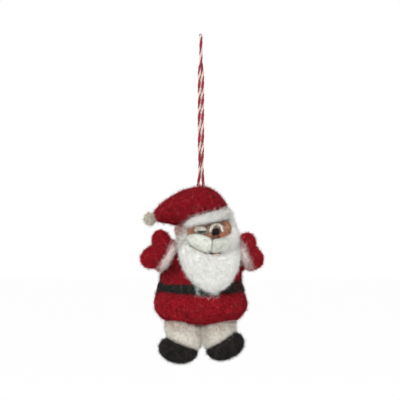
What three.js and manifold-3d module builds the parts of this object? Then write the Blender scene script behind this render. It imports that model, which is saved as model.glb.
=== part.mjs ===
// A needle-felted Santa ornament, hanging from a loop of two-colour twine.
// Lengths are millimetres and angles degrees. +Z is up and the face looks along -Y.
// Left and right are as seen from the front, so left is -X.
// The origin is the point where a hook holds the loop of twine, inside its eye.
// Every felt piece is a closed form, cut by the larger forms that carry it.

import * as THREE from 'three';
import { mergeVertices } from 'three/addons/utils/BufferGeometryUtils.js';
import Module from 'manifold-3d';

const wasm = await Module();
wasm.setup();

// Space between pieces that touch
const CLEARANCE = 0.3;

// Twine
const TWINE_DIAMETER = 1.8;
const TWINE_SIDES = 8;
const STEP_DIAMETERS = 1.6;
const KNOT_WIDTH = 5.4;
const KNOT_HEIGHT = 4.2;

// Hat
const HAT_LENGTH = 46.2;
const HAT_HEIGHT = 24.1;
const HAT_DEPTH = 31.2;
const CROWN_COVER = 12;
const BRIM_DIAMETER = 32.5;
const BRIM_HEIGHT = 6.4;
const BRIM_THICKNESS = 5;
const BRIM_TILT = 15;
const BRIM_LEAN = 4;
const POMPOM_DIAMETER = 7.4;

// Head and face
const HEAD_WIDTH = 32;
const HEAD_DEPTH = 31;
const HEAD_HEIGHT = 38;
const HEAD_SIDE = 5;
const NOSE_DIAMETER = 4.4;
const EYE_THICKNESS = 2.4;
const EYE_LEFT_WIDTH = 8;
const EYE_LEFT_HEIGHT = 4.8;
const EYE_RIGHT_WIDTH = 11.2;
const EYE_RIGHT_HEIGHT = 9;
const PUPIL_LEFT_WIDTH = 6.4;
const PUPIL_LEFT_HEIGHT = 3;
const PUPIL_RIGHT_WIDTH = 4.8;
const PUPIL_RIGHT_HEIGHT = 4.6;
const PUPIL_PROUD = 0.9;
const MOUTH_WIDTH = 9;
const MOUTH_HEIGHT = 1.4;
const MOUTH_THICKNESS = 2.4;
const LIP_WIDTH = 4.8;
const LIP_HEIGHT = 1.8;
const LIP_THICKNESS = 2.6;
const LIP_DROP = 1.0714;

// Beard, moustache and hair
const BEARD_WIDTH = 40.8;
const BEARD_LENGTH = 48.7;
const BEARD_DEPTH = 22;
const MOUSTACHE_LEFT_LENGTH = 17;
const MOUSTACHE_RIGHT_LENGTH = 15;
const MOUSTACHE_HEIGHT = 12;
const MOUSTACHE_THICKNESS = 8;
const MOUSTACHE_PROUD = 2;
const HAIR_THICKNESS = 2;

// Coat and the core inside it
const COAT_WIDTH = 59.8;
const COAT_DEPTH = 37;
const COAT_HEIGHT = 44;
const COAT_BACK = 1;
const CORE_WIDTH = 51.6;
const CORE_DEPTH = 29;
const CORE_NECK_REACH = 2.4;
const CORE_SEAT_REACH = 1.4;
const BELT_HEIGHT = 6.4;
const BELT_PROUD = 1;
const BELT_LEAN = 5;
const BELT_ROLL = 2.2;
const BUCKLE_WIDTH = 14.6;
const BUCKLE_HEIGHT = 7.6;
const BUCKLE_BAR = 2.2;
const BUCKLE_THICKNESS = 2.6;
const BUCKLE_PROUD = 0.9;

// Arms
const SLEEVE_DIAMETER = 17.4;
const SLEEVE_LENGTH = 22;
const SLEEVE_END = 2.6;
const CUFF_DIAMETER = 21;
const CUFF_LENGTH = 4;
const CUFF_THICKNESS = 3.6;
const MITTEN_WIDTH = 24;
const MITTEN_THICKNESS = 13;

// Legs and boots
const LEG_LENGTH = 17;
const LEG_WIDTH = 22.6;
const LEG_DEPTH = 23.5;
const BOOT_LENGTH = 24.6;
const BOOT_HEIGHT = 16.4;
const BOOT_DEPTH = 21.5;
const BOOT_FORWARD = 1.2;

// How finely the forms are faceted
const COARSE_SIDES = 8;
const MEDIUM_SIDES = 12;
const FINE_SIDES = 16;
const DEGREE = Math.PI / 180;

// Felt and twine colours
const RED_WOOL = 0x9e0f1f;
const WHITE_WOOL = 0xe9e7e0;
const POMPOM_WOOL = 0xc9cabd;
const CORE_WOOL = 0xe2dccb;
const TROUSER_WOOL = 0xe6dfce;
const SKIN_WOOL = 0xc28a6d;
const NOSE_WOOL = 0xb97a62;
const BOOT_WOOL = 0x2b2725;
const BELT_WOOL = 0x1f2823;
const BUCKLE_WOOL = 0xc4cdca;
const PUPIL_WOOL = 0x17110f;
const MOUTH_WOOL = 0x4b1e1a;
const LIP_WOOL = 0xc7907c;
const TWINE_RED = 0x8e1530;
const WOOL_ROUGHNESS = 1;
const TWINE_ROUGHNESS = 0.9;

// The twine's route, point by point. Strand b is strand a turned half round.
const EYE_ROUTE = [
  [0, 1.05, -16], [0, 1.05, -14.8], [0, 1.5, -12], [0, 2.4, -9], [0, 3.3, -5.9], [0, 3.7, -2.8], [0, 2.6, -0.2],
  [0, 0, 0.9],
  [0, -2.6, -0.2], [0, -3.7, -2.8], [0, -3.3, -5.9], [0, -2.4, -9], [0, -1.5, -12], [0, -1.05, -14.8], [0, -1.05, -16],
];
const STRAND_ROUTE = [
  [0, 1.05, -16.3], [0, 1.05, -17], [0.4, 0.97, -18.8], [0.74, 0.74, -20.6], [0.97, 0.4, -22.4], [1.05, 0, -24.2],
  [1.08, -0.05, -30], [1.06, 0.1, -37], [1.04, 0.15, -44], [1.07, 0, -51], [1.08, -0.12, -58], [1.05, -0.1, -65],
  [1.05, 0, -71], [0.99, -0.34, -74.4], [0.84, -0.64, -77.4], [0.65, -0.82, -80.3], [0.65, -0.82, -81.4],
];
const LEG_ROUTE = [
  [0.65, -0.82, -83.2], [0.65, -0.82, -84.4], [0.94, -0.52, -87.6], [1.15, -0.2, -90.8], [1.6, 0, -94.2], [1.7, 0, -95.2],
];
const STITCH_ROUTE = [
  [1.7, 0, -0.1], [1.75, 0, -1.6], [1.5, 0, -3.6], [0.9, 0, -5.6],
];
const KNOT_PLACE = [0, 0, -7];

const twineRadius = TWINE_DIAMETER / 2;

// The legs' rounded ends turn on the axis where the figure nods, one clearance above the hat.
const nodAxisZ = LEG_ROUTE.at(-1)[2];
const hatTopZ = nodAxisZ - twineRadius - CLEARANCE;

// Unit shapes that the named sizes scale

function closed(geometry) {
  const bare = geometry.clone();
  bare.deleteAttribute('normal');
  bare.deleteAttribute('uv');
  const merged = mergeVertices(bare);
  const corners = Array.from(merged.index.array);
  const kept = [];
  for (let i = 0; i < corners.length; i += 3) {
    const [a, b, c] = corners.slice(i, i + 3);
    if (a !== b && b !== c && c !== a) kept.push(a, b, c);
  }
  merged.setIndex(kept);
  return merged;
}

function ellipsoid(width, depth, height, sides) {
  const rows = Math.round(sides * 0.6);
  const ball = new THREE.SphereGeometry(1, sides, rows).rotateX(Math.PI / 2);
  return closed(ball.scale(width / 2, depth / 2, height / 2));
}

function ring(outerDiameter, thickness, height, sides, sectionSides) {
  const torus = new THREE.TorusGeometry((outerDiameter - thickness) / 2, thickness / 2, sectionSides, sides);
  return closed(torus.scale(1, 1, height / thickness));
}

// One elliptical hoop, flat at tilt 0 and turned about Y by its tilt
function hoop({ centre, halfWidth, halfDepth, tilt = 0 }, sides) {
  const points = [];
  for (let i = 0; i < sides; i += 1) {
    const angle = 2 * Math.PI * i / sides;
    const point = new THREE.Vector3(halfWidth * Math.cos(angle), halfDepth * Math.sin(angle), 0);
    points.push(point.applyAxisAngle(new THREE.Vector3(0, 1, 0), tilt * DEGREE).add(centre));
  }
  return points;
}

// A closed skin over hoops, from the first to the last, with a fan over each end
function skin(hoops, sides) {
  const rings = hoops.map((each) => hoop(each, sides));
  const points = rings.flat();
  const first = points.push(hoops[0].centre) - 1;
  const last = points.push(hoops.at(-1).centre) - 1;
  const faces = [];
  for (let i = 0; i < sides; i += 1) {
    const next = (i + 1) % sides;
    for (let row = 0; row < rings.length - 1; row += 1) {
      const above = row * sides;
      const below = above + sides;
      faces.push(above + i, below + i, below + next, above + i, below + next, above + next);
    }
    const foot = (rings.length - 1) * sides;
    faces.push(first, i, next, last, foot + next, foot + i);
  }
  const geometry = new THREE.BufferGeometry().setFromPoints(points);
  geometry.setIndex(faces);
  return closed(geometry);
}

// The hoop that a stack of hoops would have at a height, between its two nearest
function hoopAt(hoops, z) {
  const below = Math.max(1, hoops.findIndex((each) => each.centre.z <= z));
  const [upper, lower] = [hoops[below - 1], hoops[below]];
  const share = (upper.centre.z - z) / (upper.centre.z - lower.centre.z);
  const mix = THREE.MathUtils.lerp;
  return {
    centre: upper.centre.clone().lerp(lower.centre, share),
    halfWidth: mix(upper.halfWidth, lower.halfWidth, share),
    halfDepth: mix(upper.halfDepth, lower.halfDepth, share),
  };
}

// The front of a stack of hoops, as a point on its surface
function frontOf(hoops, x, z) {
  const { centre, halfWidth, halfDepth } = hoopAt(hoops, z);
  const across = Math.min(1, Math.abs(x - centre.x) / halfWidth);
  return new THREE.Vector3(x, centre.y - halfDepth * Math.sqrt(1 - across ** 2), z);
}

// Joins and cuts

function solidOf(geometry) {
  const vertProperties = new Float32Array(geometry.attributes.position.array);
  const triVerts = new Uint32Array(geometry.index.array);
  return new wasm.Manifold(new wasm.Mesh({ numProp: 3, vertProperties, triVerts }));
}

function geometryOf(solid) {
  const { vertProperties, triVerts } = solid.getMesh();
  const geometry = new THREE.BufferGeometry();
  geometry.setAttribute('position', new THREE.BufferAttribute(vertProperties, 3));
  geometry.setIndex(new THREE.BufferAttribute(triVerts, 1));
  return geometry;
}

function joined(...geometries) {
  return geometryOf(geometries.map(solidOf).reduce((whole, each) => whole.add(each)));
}

// The same form with every point moved out along its normal
function swollen(geometry, by) {
  const form = closed(geometry);
  form.computeVertexNormals();
  const { position, normal } = form.attributes;
  for (let i = 0; i < position.count; i += 1) {
    position.setXYZ(
      i,
      position.getX(i) + by * normal.getX(i),
      position.getY(i) + by * normal.getY(i),
      position.getZ(i) + by * normal.getZ(i),
    );
  }
  return form;
}

// Cuts a piece by the whole forms of the pieces that carry it, one clearance away
function cut(piece, ...carriers) {
  piece.updateMatrix();
  let solid = solidOf(piece.geometry);
  for (const carrier of carriers) {
    carrier.updateMatrix();
    const intoPiece = piece.matrix.clone().invert().multiply(carrier.matrix);
    const tool = solidOf(swollen(carrier.userData.form, CLEARANCE));
    solid = solid.subtract(tool.transform(intoPiece.elements));
  }
  piece.geometry = geometryOf(solid);
}

function felt(name, geometry, color) {
  const material = new THREE.MeshStandardMaterial({ color, roughness: WOOL_ROUGHNESS, metalness: 0 });
  const piece = new THREE.Mesh(geometry, material);
  piece.name = name;
  piece.userData.form = geometry;
  return piece;
}

// Twine

function twine(name, route, roundedEnds = []) {
  const path = new THREE.CatmullRomCurve3(route.map((point) => new THREE.Vector3(...point)));
  const section = new THREE.Shape(
    Array.from({ length: TWINE_SIDES }, (_, i) => {
      const angle = 2 * Math.PI * i / TWINE_SIDES;
      return new THREE.Vector2(twineRadius * Math.cos(angle), twineRadius * Math.sin(angle));
    }),
  );
  const steps = 2 * Math.max(1, Math.round(path.getLength() / (STEP_DIAMETERS * TWINE_DIAMETER) / 2));
  let geometry = closed(new THREE.ExtrudeGeometry(section, { steps, extrudePath: path }));
  for (const end of roundedEnds) {
    const ball = ellipsoid(TWINE_DIAMETER, TWINE_DIAMETER, TWINE_DIAMETER, TWINE_SIDES);
    geometry = joined(geometry, ball.translate(...end));
  }
  const piece = felt(name, geometry, TWINE_RED);
  piece.material.roughness = TWINE_ROUGHNESS;
  return piece;
}

// The second strand of a pair is the first, turned half round the cord's axis.
function twinePair(name, route, roundedEnds) {
  const first = twine(`${name}_a`, route, roundedEnds);
  const second = twine(`${name}_b`, route, roundedEnds);
  second.rotation.z = Math.PI;
  return [first, second];
}

function makeHanger() {
  const legEnds = [LEG_ROUTE[0], LEG_ROUTE.at(-1)];
  return [
    twine('loop_eye', EYE_ROUTE),
    ...twinePair('strand', STRAND_ROUTE),
    ...twinePair('leg', LEG_ROUTE, legEnds),
  ];
}

function makeStitches() {
  const knot = felt('hanger_knot', ellipsoid(KNOT_WIDTH, KNOT_WIDTH, KNOT_HEIGHT, COARSE_SIDES), TWINE_RED);
  knot.position.set(...KNOT_PLACE);
  const stitches = twinePair('stitch', STITCH_ROUTE);
  for (const stitch of stitches) cut(stitch, knot);
  return [knot, ...stitches];
}

// Core and coat

const headCentre = new THREE.Vector3(HEAD_SIDE, 0, -(CROWN_COVER + HEAD_HEIGHT / 2));
const NECK_SHARE = 0.33;
const coatTopZ = headCentre.z - NECK_SHARE * HEAD_HEIGHT;

// Drop, side, width and depth of each level, as shares of the coat's height, width, half width and half depth
const coatShares = [
  [0, 0.055, 0.3, 0.38], [0.045, 0.05, 0.62, 0.67], [0.17, 0.027, 0.822, 0.84], [0.307, -0.003, 0.87, 0.908],
  [0.443, -0.007, 0.872, 0.915], [0.602, -0.007, 0.967, 0.973], [0.705, -0.007, 1, 1], [0.807, -0.005, 0.967, 0.962],
  [0.914, -0.003, 0.836, 0.832], [0.984, 0, 0.635, 0.632], [1, 0, 0.4, 0.405],
];
const coatHoops = coatShares.map(([drop, side, width, depth]) => ({
  centre: new THREE.Vector3(side * COAT_WIDTH, COAT_BACK, coatTopZ - drop * COAT_HEIGHT),
  halfWidth: width * COAT_WIDTH / 2,
  halfDepth: depth * COAT_DEPTH / 2,
}));
const hemZ = coatHoops.at(-1).centre.z;

// The same for the core between its neck and its seat, which reach past the coat
const coreShares = [
  [0.08, 0.055, 0.3, 0.44], [0.182, 0.027, 0.66, 0.72], [0.284, -0.003, 0.83, 0.86], [0.443, -0.007, 0.876, 0.9],
  [0.705, -0.007, 1, 1], [0.807, -0.005, 0.953, 0.94], [0.875, -0.003, 0.78, 0.75], [0.92, 0, 0.46, 0.5],
];

function coreHoops() {
  const hoops = coreShares.map(([drop, side, width, depth]) => ({
    centre: new THREE.Vector3(side * COAT_WIDTH, COAT_BACK, coatTopZ - drop * COAT_HEIGHT),
    halfWidth: width * CORE_WIDTH / 2,
    halfDepth: depth * CORE_DEPTH / 2,
  }));
  const neck = { ...hoops[0], centre: hoops[0].centre.clone().setZ(coatTopZ + CORE_NECK_REACH) };
  const seat = { ...hoops.at(-1), centre: hoops.at(-1).centre.clone().setZ(hemZ - CORE_SEAT_REACH) };
  return [neck, ...hoops, seat];
}

function makeBody() {
  const core = felt('body_core', skin(coreHoops(), FINE_SIDES), CORE_WOOL);
  const coat = felt('coat', skin(coatHoops, FINE_SIDES), RED_WOOL);
  cut(coat, core);
  return { core, coat };
}

// Head, hat and hair

function makeHead(body) {
  const head = felt('head', ellipsoid(HEAD_WIDTH, HEAD_DEPTH, HEAD_HEIGHT, FINE_SIDES), SKIN_WOOL);
  head.position.copy(headCentre);
  cut(head, body.core, body.coat);
  return head;
}

function makeBrim(head) {
  const brimRiseShare = 0.265;
  const brimSideShare = -0.03;
  const form = ring(BRIM_DIAMETER, BRIM_THICKNESS, BRIM_HEIGHT, FINE_SIDES, COARSE_SIDES);
  const brim = felt('hat_brim', form, WHITE_WOOL);
  brim.position.set(brimSideShare * HEAD_WIDTH, 0, brimRiseShare * HEAD_HEIGHT).add(headCentre);
  brim.rotation.set(-BRIM_LEAN * DEGREE, -BRIM_TILT * DEGREE, 0);
  cut(brim, head);
  return brim;
}

// Place along the hat from its right end, top, bottom and depth of each slice
const crownTopShare = 0.351;
const crownShares = [
  [0, 0.548, 0.614, 0.1], [0.026, 0.44, 0.714, 0.385], [0.082, 0.274, 0.83, 0.673], [0.16, 0.133, 0.892, 0.885],
  [0.258, 0.037, 0.921, 0.987], [crownTopShare, 0, 0.938, 1], [0.459, 0.037, 0.954, 0.962], [0.578, 0.1, 0.996, 0.859],
  [0.697, 0.199, 1, 0.731], [0.816, 0.344, 0.95, 0.577], [0.918, 0.498, 0.909, 0.423], [0.978, 0.622, 0.863, 0.256],
  [1, 0.705, 0.805, 0.096],
];

function crownForm() {
  const uprightTilt = 90;
  const slices = crownShares.map(([along, top, bottom, depth]) => ({
    centre: new THREE.Vector3((crownTopShare - along) * HAT_LENGTH, 0, -(top + bottom) / 2 * HAT_HEIGHT),
    halfWidth: (bottom - top) / 2 * HAT_HEIGHT,
    halfDepth: depth * HAT_DEPTH / 2,
    tilt: uprightTilt,
  }));
  return skin(slices, FINE_SIDES);
}

function makeCrown(head, brim, hangerInside) {
  const crown = felt('hat_crown', crownForm(), RED_WOOL);
  cut(crown, head, brim, ...hangerInside);
  return crown;
}

function makePompom(crown) {
  const besideTipShare = -0.38;
  const underTipShare = -0.31;
  const [along, top, bottom] = crownShares.at(-1);
  const pompom = felt('hat_pompom', ellipsoid(POMPOM_DIAMETER, POMPOM_DIAMETER, POMPOM_DIAMETER, MEDIUM_SIDES), POMPOM_WOOL);
  pompom.position.set(
    (crownTopShare - along) * HAT_LENGTH + besideTipShare * POMPOM_DIAMETER,
    0,
    -(top + bottom) / 2 * HAT_HEIGHT + underTipShare * POMPOM_DIAMETER,
  );
  cut(pompom, crown);
  return pompom;
}

function makeHair(carriers) {
  const backShare = 0.16;
  const dropShare = 0.05;
  const heightShare = 0.74;
  const form = ellipsoid(
    HEAD_WIDTH + 2 * HAIR_THICKNESS,
    HEAD_DEPTH,
    heightShare * HEAD_HEIGHT,
    FINE_SIDES,
  );
  const hair = felt('hair', form, WHITE_WOOL);
  hair.position.set(0, backShare * HEAD_DEPTH, -dropShare * HEAD_HEIGHT).add(headCentre);
  cut(hair, ...carriers);
  return hair;
}

// Beard: drop, side, half width, front and back of each level, as shares of its length, width and depth
const beardTopShare = 0.368;
const beardShares = [
  [0, 0.2, 0.16, -0.27, 0.18], [0.082, 0.02, 0.385, -0.36, 0.18], [0.164, -0.038, 0.464, -0.41, 0.18],
  [0.246, -0.018, 0.496, -0.47, 0.18], [0.349, 0.004, 0.504, -0.55, 0.18], [0.472, 0.011, 0.487, -0.78, 0.09],
  [0.595, 0.018, 0.457, -0.93, -0.23], [0.719, 0.028, 0.41, -1, -0.32], [0.821, 0.037, 0.346, -1.02, -0.41],
  [0.903, 0.047, 0.267, -1.02, -0.6], [0.971, 0.058, 0.143, -0.99, -0.74], [1, 0.061, 0.049, -0.93, -0.85],
];
const beardTopZ = headCentre.z + beardTopShare * HEAD_HEIGHT;
const beardHoops = beardShares.map(([drop, side, halfWidth, front, back]) => ({
  centre: new THREE.Vector3(
    headCentre.x + side * BEARD_WIDTH,
    headCentre.y + (front + back) / 2 * BEARD_DEPTH,
    beardTopZ - drop * BEARD_LENGTH,
  ),
  halfWidth: halfWidth * BEARD_WIDTH,
  halfDepth: (back - front) / 2 * BEARD_DEPTH,
}));

function makeBeard(carriers) {
  const beard = felt('beard', skin(beardHoops, FINE_SIDES), WHITE_WOOL);
  cut(beard, ...carriers);
  return beard;
}

// Puts a piece on the front of the head, thin way out, at shares of the head's half width and half height
function seatOnHead(piece, sideShare, riseShare, proud, roll) {
  const half = new THREE.Vector3(HEAD_WIDTH / 2, HEAD_DEPTH / 2, HEAD_HEIGHT / 2);
  const point = new THREE.Vector3(sideShare, -Math.sqrt(1 - sideShare ** 2 - riseShare ** 2), riseShare);
  const outward = point.clone().divide(half).normalize();
  const inward = outward.clone().negate();
  const across = new THREE.Vector3().crossVectors(inward, new THREE.Vector3(0, 0, 1)).normalize();
  const up = new THREE.Vector3().crossVectors(across, inward);
  piece.position.copy(point.multiply(half)).addScaledVector(outward, proud).add(headCentre);
  piece.quaternion.setFromRotationMatrix(new THREE.Matrix4().makeBasis(across, inward, up));
  piece.rotateY(roll * DEGREE);
}

// Along from right to left, rise, half height and half depth of each slice of a moustache lobe
const lobeShares = {
  left: [
    [0.5, -0.05, 0.2, 0.22], [0.44, -0.08, 0.34, 0.36], [0.3, -0.06, 0.44, 0.46], [0.15, -0.01, 0.48, 0.5],
    [-0.05, 0.1, 0.43, 0.5], [-0.3, 0.19, 0.3, 0.4], [-0.45, 0.24, 0.17, 0.24], [-0.5, 0.26, 0.08, 0.12],
  ],
  right: [
    [0.5, 0.22, 0.09, 0.12], [0.45, 0.19, 0.2, 0.26], [0.33, 0.108, 0.34, 0.4], [0.126, 0.03, 0.42, 0.5],
    [-0.126, -0.04, 0.44, 0.5], [-0.36, -0.05, 0.42, 0.46], [-0.6, -0.06, 0.36, 0.36], [-0.7, -0.07, 0.24, 0.2],
  ],
};

const moustacheRiseShare = { left: -0.242, right: -0.284 };

function makeMoustache(side, length, sideShare, carriers) {
  const uprightTilt = 90;
  const slices = lobeShares[side].map(([along, rise, halfHeight, halfDepth]) => ({
    centre: new THREE.Vector3(along * length, 0, rise * MOUSTACHE_HEIGHT),
    halfWidth: halfHeight * MOUSTACHE_HEIGHT,
    halfDepth: halfDepth * MOUSTACHE_THICKNESS,
    tilt: uprightTilt,
  }));
  const lobe = felt(`moustache_${side}`, skin(slices, MEDIUM_SIDES), WHITE_WOOL);
  seatOnHead(lobe, sideShare, moustacheRiseShare[side], MOUSTACHE_PROUD, 0);
  cut(lobe, ...carriers);
  return lobe;
}

function makeNose(carriers) {
  const noseSideShare = 0.27;
  const noseRiseShare = -0.03;
  const noseProudShare = 0.25;
  const nose = felt('nose', ellipsoid(NOSE_DIAMETER, NOSE_DIAMETER, NOSE_DIAMETER, COARSE_SIDES), NOSE_WOOL);
  seatOnHead(nose, noseSideShare, noseRiseShare, noseProudShare * NOSE_DIAMETER, 0);
  cut(nose, ...carriers);
  return nose;
}

function makeEye(side, white, pupil, carriers) {
  const whiteForm = ellipsoid(white.width, EYE_THICKNESS, white.height, MEDIUM_SIDES);
  const eyeWhite = felt(`eye_white_${side}`, whiteForm, WHITE_WOOL);
  seatOnHead(eyeWhite, white.sideShare, white.riseShare, 0, white.roll);
  cut(eyeWhite, ...carriers);
  const pupilForm = ellipsoid(pupil.width, EYE_THICKNESS, pupil.height, COARSE_SIDES);
  const eyePupil = felt(`pupil_${side}`, pupilForm, PUPIL_WOOL);
  seatOnHead(eyePupil, pupil.sideShare, pupil.riseShare, PUPIL_PROUD, 0);
  cut(eyePupil, eyeWhite, ...carriers);
  return [eyeWhite, eyePupil];
}

function makeMouth(carriers) {
  const mouthSideShare = 0.083;
  const mouthDropShare = 0.466925;
  const lipSideShare = 0.122;
  const mouthZ = headCentre.z + moustacheRiseShare.right * HEAD_HEIGHT / 2 - mouthDropShare * MOUSTACHE_HEIGHT;
  const placeOnBeard = (piece, sideShare, z) => {
    piece.position.copy(frontOf(beardHoops, headCentre.x + sideShare * BEARD_WIDTH, z));
  };
  const mouth = felt('mouth', ellipsoid(MOUTH_WIDTH, MOUTH_THICKNESS, MOUTH_HEIGHT, COARSE_SIDES), MOUTH_WOOL);
  placeOnBeard(mouth, mouthSideShare, mouthZ);
  cut(mouth, ...carriers);
  const lip = felt('lower_lip', ellipsoid(LIP_WIDTH, LIP_THICKNESS, LIP_HEIGHT, COARSE_SIDES), LIP_WOOL);
  placeOnBeard(lip, lipSideShare, mouthZ - LIP_DROP);
  cut(lip, mouth, ...carriers);
  return [mouth, lip];
}

// Belt and buckle

const beltDropShare = 0.465;
const beltZ = coatTopZ - beltDropShare * COAT_HEIGHT;

// The belt is a puck a little wider than the coat, of which the cut by the coat leaves a band.
function makeBelt(body) {
  const edgeShares = [[0.5, 0.55], [0.36, 1], [-0.36, 1], [-0.5, 0.55]];
  const hoops = edgeShares.map(([rise, proud]) => {
    const level = hoopAt(coatHoops, beltZ + rise * BELT_HEIGHT);
    return {
      centre: level.centre.clone().setZ(rise * BELT_HEIGHT),
      halfWidth: level.halfWidth + proud * BELT_PROUD,
      halfDepth: level.halfDepth + proud * BELT_PROUD,
    };
  });
  const belt = felt('belt', skin(hoops, FINE_SIDES), BELT_WOOL);
  belt.position.z = beltZ;
  belt.rotation.set(BELT_LEAN * DEGREE, -BELT_ROLL * DEGREE, 0);
  cut(belt, body.coat);
  return belt;
}

function buckleShape() {
  const outline = (width, height, path) => {
    const [x, y] = [width / 2, height / 2];
    const round = BUCKLE_BAR / 2;
    path.moveTo(-x + round, -y);
    path.lineTo(x - round, -y);
    path.quadraticCurveTo(x, -y, x, -y + round);
    path.lineTo(x, y - round);
    path.quadraticCurveTo(x, y, x - round, y);
    path.lineTo(-x + round, y);
    path.quadraticCurveTo(-x, y, -x, y - round);
    path.lineTo(-x, -y + round);
    path.quadraticCurveTo(-x, -y, -x + round, -y);
    return path;
  };
  const shape = outline(BUCKLE_WIDTH, BUCKLE_HEIGHT, new THREE.Shape());
  shape.holes.push(outline(BUCKLE_WIDTH - 2 * BUCKLE_BAR, BUCKLE_HEIGHT - 2 * BUCKLE_BAR, new THREE.Path()));
  return shape;
}

function makeBuckle(body, belt) {
  const buckleSideShare = 0.064;
  const beltSagShare = 0.2;
  const curveSegments = 2;
  const form = new THREE.ExtrudeGeometry(buckleShape(), {
    depth: BUCKLE_THICKNESS,
    steps: 1,
    curveSegments,
    bevelEnabled: false,
  });
  const buckle = felt('buckle', closed(form.rotateX(Math.PI / 2)), BUCKLE_WOOL);
  const x = buckleSideShare * COAT_WIDTH;
  const z = beltZ - beltSagShare * BELT_HEIGHT;
  buckle.position.copy(frontOf(coatHoops, x, z));
  buckle.position.y += BUCKLE_THICKNESS - BELT_PROUD - BUCKLE_PROUD;
  cut(buckle, body.coat, belt);
  return buckle;
}

// Arms: where the middle of each cuff is, and which way the mitten points

const cuffPlaces = {
  left: { sideShare: -0.371, forwardShare: 0.08, riseShare: -0.01, pointing: [-0.87, -0.2, 0.45] },
  right: { sideShare: 0.49, forwardShare: 0.08, riseShare: 0.016, pointing: [0.92, -0.2, 0.33] },
};

// Out, up, length and width of the palm, thumb and fingers of a mitten, as shares of its width, and their lean
const mittenShares = {
  left: [[0.16, 0.02, 0.62, 0.7, 0], [0.26, 0.2, 0.74, 0.49, 50], [0.27, -0.18, 0.78, 0.58, -50]],
  right: [[0.08, 0.04, 0.5, 0.66, 0], [0.11, 0.22, 0.6, 0.46, 60], [0.12, -0.13, 0.66, 0.54, -60]],
};

function armFrame(side) {
  const { sideShare, forwardShare, riseShare, pointing } = cuffPlaces[side];
  const centre = new THREE.Vector3(
    sideShare * COAT_WIDTH,
    COAT_BACK - forwardShare * COAT_DEPTH,
    coatTopZ + riseShare * COAT_HEIGHT,
  );
  const outward = new THREE.Vector3(...pointing).normalize();
  const forward = new THREE.Vector3(0, -1, 0).addScaledVector(outward, outward.y).normalize();
  const up = new THREE.Vector3().crossVectors(outward, forward);
  if (up.z < 0) up.negate();
  const across = new THREE.Vector3().crossVectors(outward, up);
  const turn = new THREE.Quaternion().setFromRotationMatrix(new THREE.Matrix4().makeBasis(up, across, outward));
  return { centre, outward, turn };
}

function makeSleeve(side, carriers) {
  const { centre, outward, turn } = armFrame(side);
  const sleeve = felt(`sleeve_${side}`, ellipsoid(SLEEVE_DIAMETER, SLEEVE_DIAMETER, SLEEVE_LENGTH, MEDIUM_SIDES), RED_WOOL);
  sleeve.position.copy(centre).addScaledVector(outward, SLEEVE_END - SLEEVE_LENGTH / 2);
  sleeve.quaternion.copy(turn);
  cut(sleeve, ...carriers);
  return sleeve;
}

function makeCuff(side, carriers) {
  const { centre, turn } = armFrame(side);
  const form = ring(CUFF_DIAMETER, CUFF_THICKNESS, CUFF_LENGTH, FINE_SIDES, COARSE_SIDES);
  const cuff = felt(`cuff_${side}`, form, WHITE_WOOL);
  cuff.position.copy(centre);
  cuff.quaternion.copy(turn);
  cut(cuff, ...carriers);
  return cuff;
}

function makeMitten(side, carriers) {
  const { centre, turn } = armFrame(side);
  const lumps = mittenShares[side].map(([out, up, length, width, lean]) => {
    const lump = ellipsoid(width * MITTEN_WIDTH, MITTEN_THICKNESS, length * MITTEN_WIDTH, MEDIUM_SIDES);
    return lump.rotateY(lean * DEGREE).translate(up * MITTEN_WIDTH, 0, out * MITTEN_WIDTH);
  });
  const mitten = felt(`mitten_${side}`, joined(...lumps), RED_WOOL);
  mitten.position.copy(centre);
  mitten.quaternion.copy(turn);
  cut(mitten, ...carriers);
  return mitten;
}

// Legs and boots: drop, side, width, depth and tilt of each level of a leg
const legShares = {
  left: [
    [-0.4, -0.48, 0.98, 0.92, 0], [0.1, -0.488, 1.08, 1.01, 0], [0.42, -0.48, 1.04, 0.98, 9],
    [0.67, -0.49, 0.96, 0.93, 17], [0.78, -0.51, 0.88, 0.87, 20],
  ],
  right: [
    [-0.4, 0.475, 0.95, 0.9, 0], [0.1, 0.4825, 1.025, 1, 0], [0.38, 0.49, 1, 0.97, -12], [0.58, 0.52, 0.93, 0.92, -22],
    [0.68, 0.54, 0.85, 0.86, -27],
  ],
};

// Side and drop of a boot, as shares of the leg's width and length, and its tilt
const bootPlaces = {
  left: { sideShare: -0.64, dropShare: 0.965, tilt: 9 },
  right: { sideShare: 0.69, dropShare: 0.825, tilt: -21 },
};

function makeLeg(side, carriers) {
  const hoops = legShares[side].map(([drop, across, width, depth, tilt]) => ({
    centre: new THREE.Vector3(across * LEG_WIDTH, COAT_BACK, hemZ - drop * LEG_LENGTH),
    halfWidth: width * LEG_WIDTH / 2,
    halfDepth: depth * LEG_DEPTH / 2,
    tilt,
  }));
  const leg = felt(`leg_${side}`, skin(hoops, MEDIUM_SIDES), TROUSER_WOOL);
  cut(leg, ...carriers);
  return leg;
}

function makeBoot(side, carriers) {
  const { sideShare, dropShare, tilt } = bootPlaces[side];
  const boot = felt(`boot_${side}`, ellipsoid(BOOT_LENGTH, BOOT_DEPTH, BOOT_HEIGHT, MEDIUM_SIDES), BOOT_WOOL);
  boot.position.set(sideShare * LEG_WIDTH, COAT_BACK - BOOT_FORWARD, hemZ - dropShare * LEG_LENGTH);
  boot.rotation.y = tilt * DEGREE;
  cut(boot, ...carriers);
  return boot;
}

// The felt figure, from its core outwards

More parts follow.
